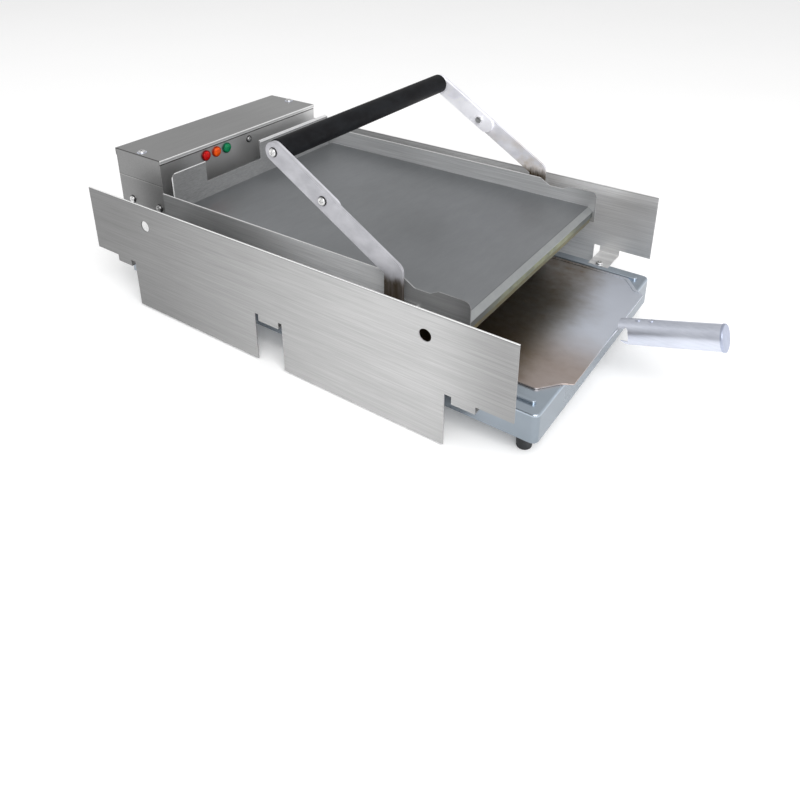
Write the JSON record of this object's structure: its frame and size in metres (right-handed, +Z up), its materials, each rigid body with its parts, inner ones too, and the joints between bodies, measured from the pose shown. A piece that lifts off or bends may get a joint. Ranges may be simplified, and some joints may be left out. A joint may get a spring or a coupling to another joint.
{
  "type": "bun toaster",
  "caption": "Commercial batch bun toaster: a heated platen with a crown tray on top is lowered by a hinged handle onto bun heels on a spatula, with a control box at the rear.",
  "frame": {"origin": "on the counter, under the middle of the whole part with its spatula in place", "axes": "+Z up, -Y towards the operator, who loads it and pulls the spatula out that way, +Y towards the control box, +X to the operator's right"},
  "size_m": [0.435, 0.8636, 0.3045],
  "materials": {
    "brushed_panel": "fine brushed grain along the length",
    "tray_steel": "darker satin grain",
    "blade_steel": "bright satin, bent sheet",
    "base_paint": "light blue-grey satin coat",
    "box_steel": "satin grain",
    "platen_aluminium": "machined, dulled by heat",
    "arm_aluminium": "light satin bar",
    "fitting_steel": "plain satin",
    "screw_steel": "bright plated",
    "spring_steel": "drawn wire",
    "bush_brass": "turned",
    "grip_plastic": "black, heat resistant",
    "foot_rubber": "black",
    "red_lens": "moulded lens",
    "amber_lens": "moulded lens",
    "green_lens": "moulded lens",
    "control_plastic": "black moulding"
  },
  "bodies": {
    "frame": {"base_pan": "base_paint", "guide_ribs": "base_paint", "feet": "foot_rubber", "foot_screws": "screw_steel", "right_side_panel": "brushed_panel", "left_side_panel": "brushed_panel", "panel_screws": "screw_steel", "guide_bushes": "bush_brass", "lift_springs": "spring_steel", "right_handle_bracket": "fitting_steel", "left_handle_bracket": "fitting_steel", "bracket_screws": "screw_steel", "pivot_pins": "fitting_steel", "wire_duct": "box_steel", "duct_screws": "screw_steel", "control_box_body": "box_steel", "control_box_cover": "box_steel", "cover_screws": "screw_steel", "box_side_screws": "screw_steel", "box_face_screw": "screw_steel", "red_lamp_lens": "red_lens", "amber_lamp_lens": "amber_lens", "green_lamp_lens": "green_lens", "lamp_bodies": "control_plastic", "contactor": "control_plastic", "terminal_block": "control_plastic", "component_screws": "screw_steel", "thermostat": "control_plastic", "switch_frame": "control_plastic", "cord_gland": "control_plastic"},
    "platen": {"crown_plate": "platen_aluminium", "heel_plate": "platen_aluminium", "heating_element": "fitting_steel", "platen_screws": "screw_steel", "thermostat_bulb": "fitting_steel", "right_tray_wall": "tray_steel", "left_tray_wall": "tray_steel", "rear_tray_wall": "tray_steel", "tray_screws": "screw_steel", "right_drop_lug": "fitting_steel", "left_drop_lug": "fitting_steel", "lug_screws": "screw_steel", "guide_rods": "fitting_steel"},
    "handle": {"right_arm": "arm_aluminium", "left_arm": "arm_aluminium", "right_inner_bar": "arm_aluminium", "left_inner_bar": "arm_aluminium", "grip": "grip_plastic", "grip_rod": "fitting_steel", "arm_screws": "screw_steel", "arm_nuts": "screw_steel", "crank_pins": "fitting_steel"},
    "spatula": {"spatula_blade": "blade_steel", "spatula_tube": "blade_steel", "spatula_rivets": "blade_steel", "spatula_end_cap": "blade_steel"},
    "power_rocker": {"power_rocker": "control_plastic"},
    "thermostat_knob": {"thermostat_knob": "control_plastic"}
  },
  "joints": [
    {"name": "handle_swing", "type": "hinge", "parent": "frame", "child": "handle", "pos_m": [0, -0.10217, 0.103], "axis": [1, 0, 0], "range_deg": [0, 90]},
    {"name": "platen_drop", "type": "slide", "parent": "frame", "child": "platen", "axis": [0, 0, 1], "range_m": [-0.03, 0], "stiffness_N_per_m": 3200, "springref_m": 0.04, "deforming": ["lift_springs"]},
    {"name": "spatula_pull", "type": "slide", "parent": "frame", "child": "spatula", "axis": [0, -1, 0], "range_m": [0, 0.44]},
    {"name": "rocker_tip", "type": "hinge", "parent": "frame", "child": "power_rocker", "pos_m": [-0.0404, 0.41493, 0.1675], "axis": [1, 0, 0], "range_deg": [-9.6, 0]},
    {"name": "thermostat_turn", "type": "hinge", "parent": "frame", "child": "thermostat_knob", "pos_m": [-0.1004, 0.42383, 0.1675], "axis": [0, 1, 0], "range_deg": [0, 270]}
  ],
  "couplings": [
    {"joint": "platen_drop", "follows": "handle_swing", "m_per_rad": -0.019099}
  ]
}
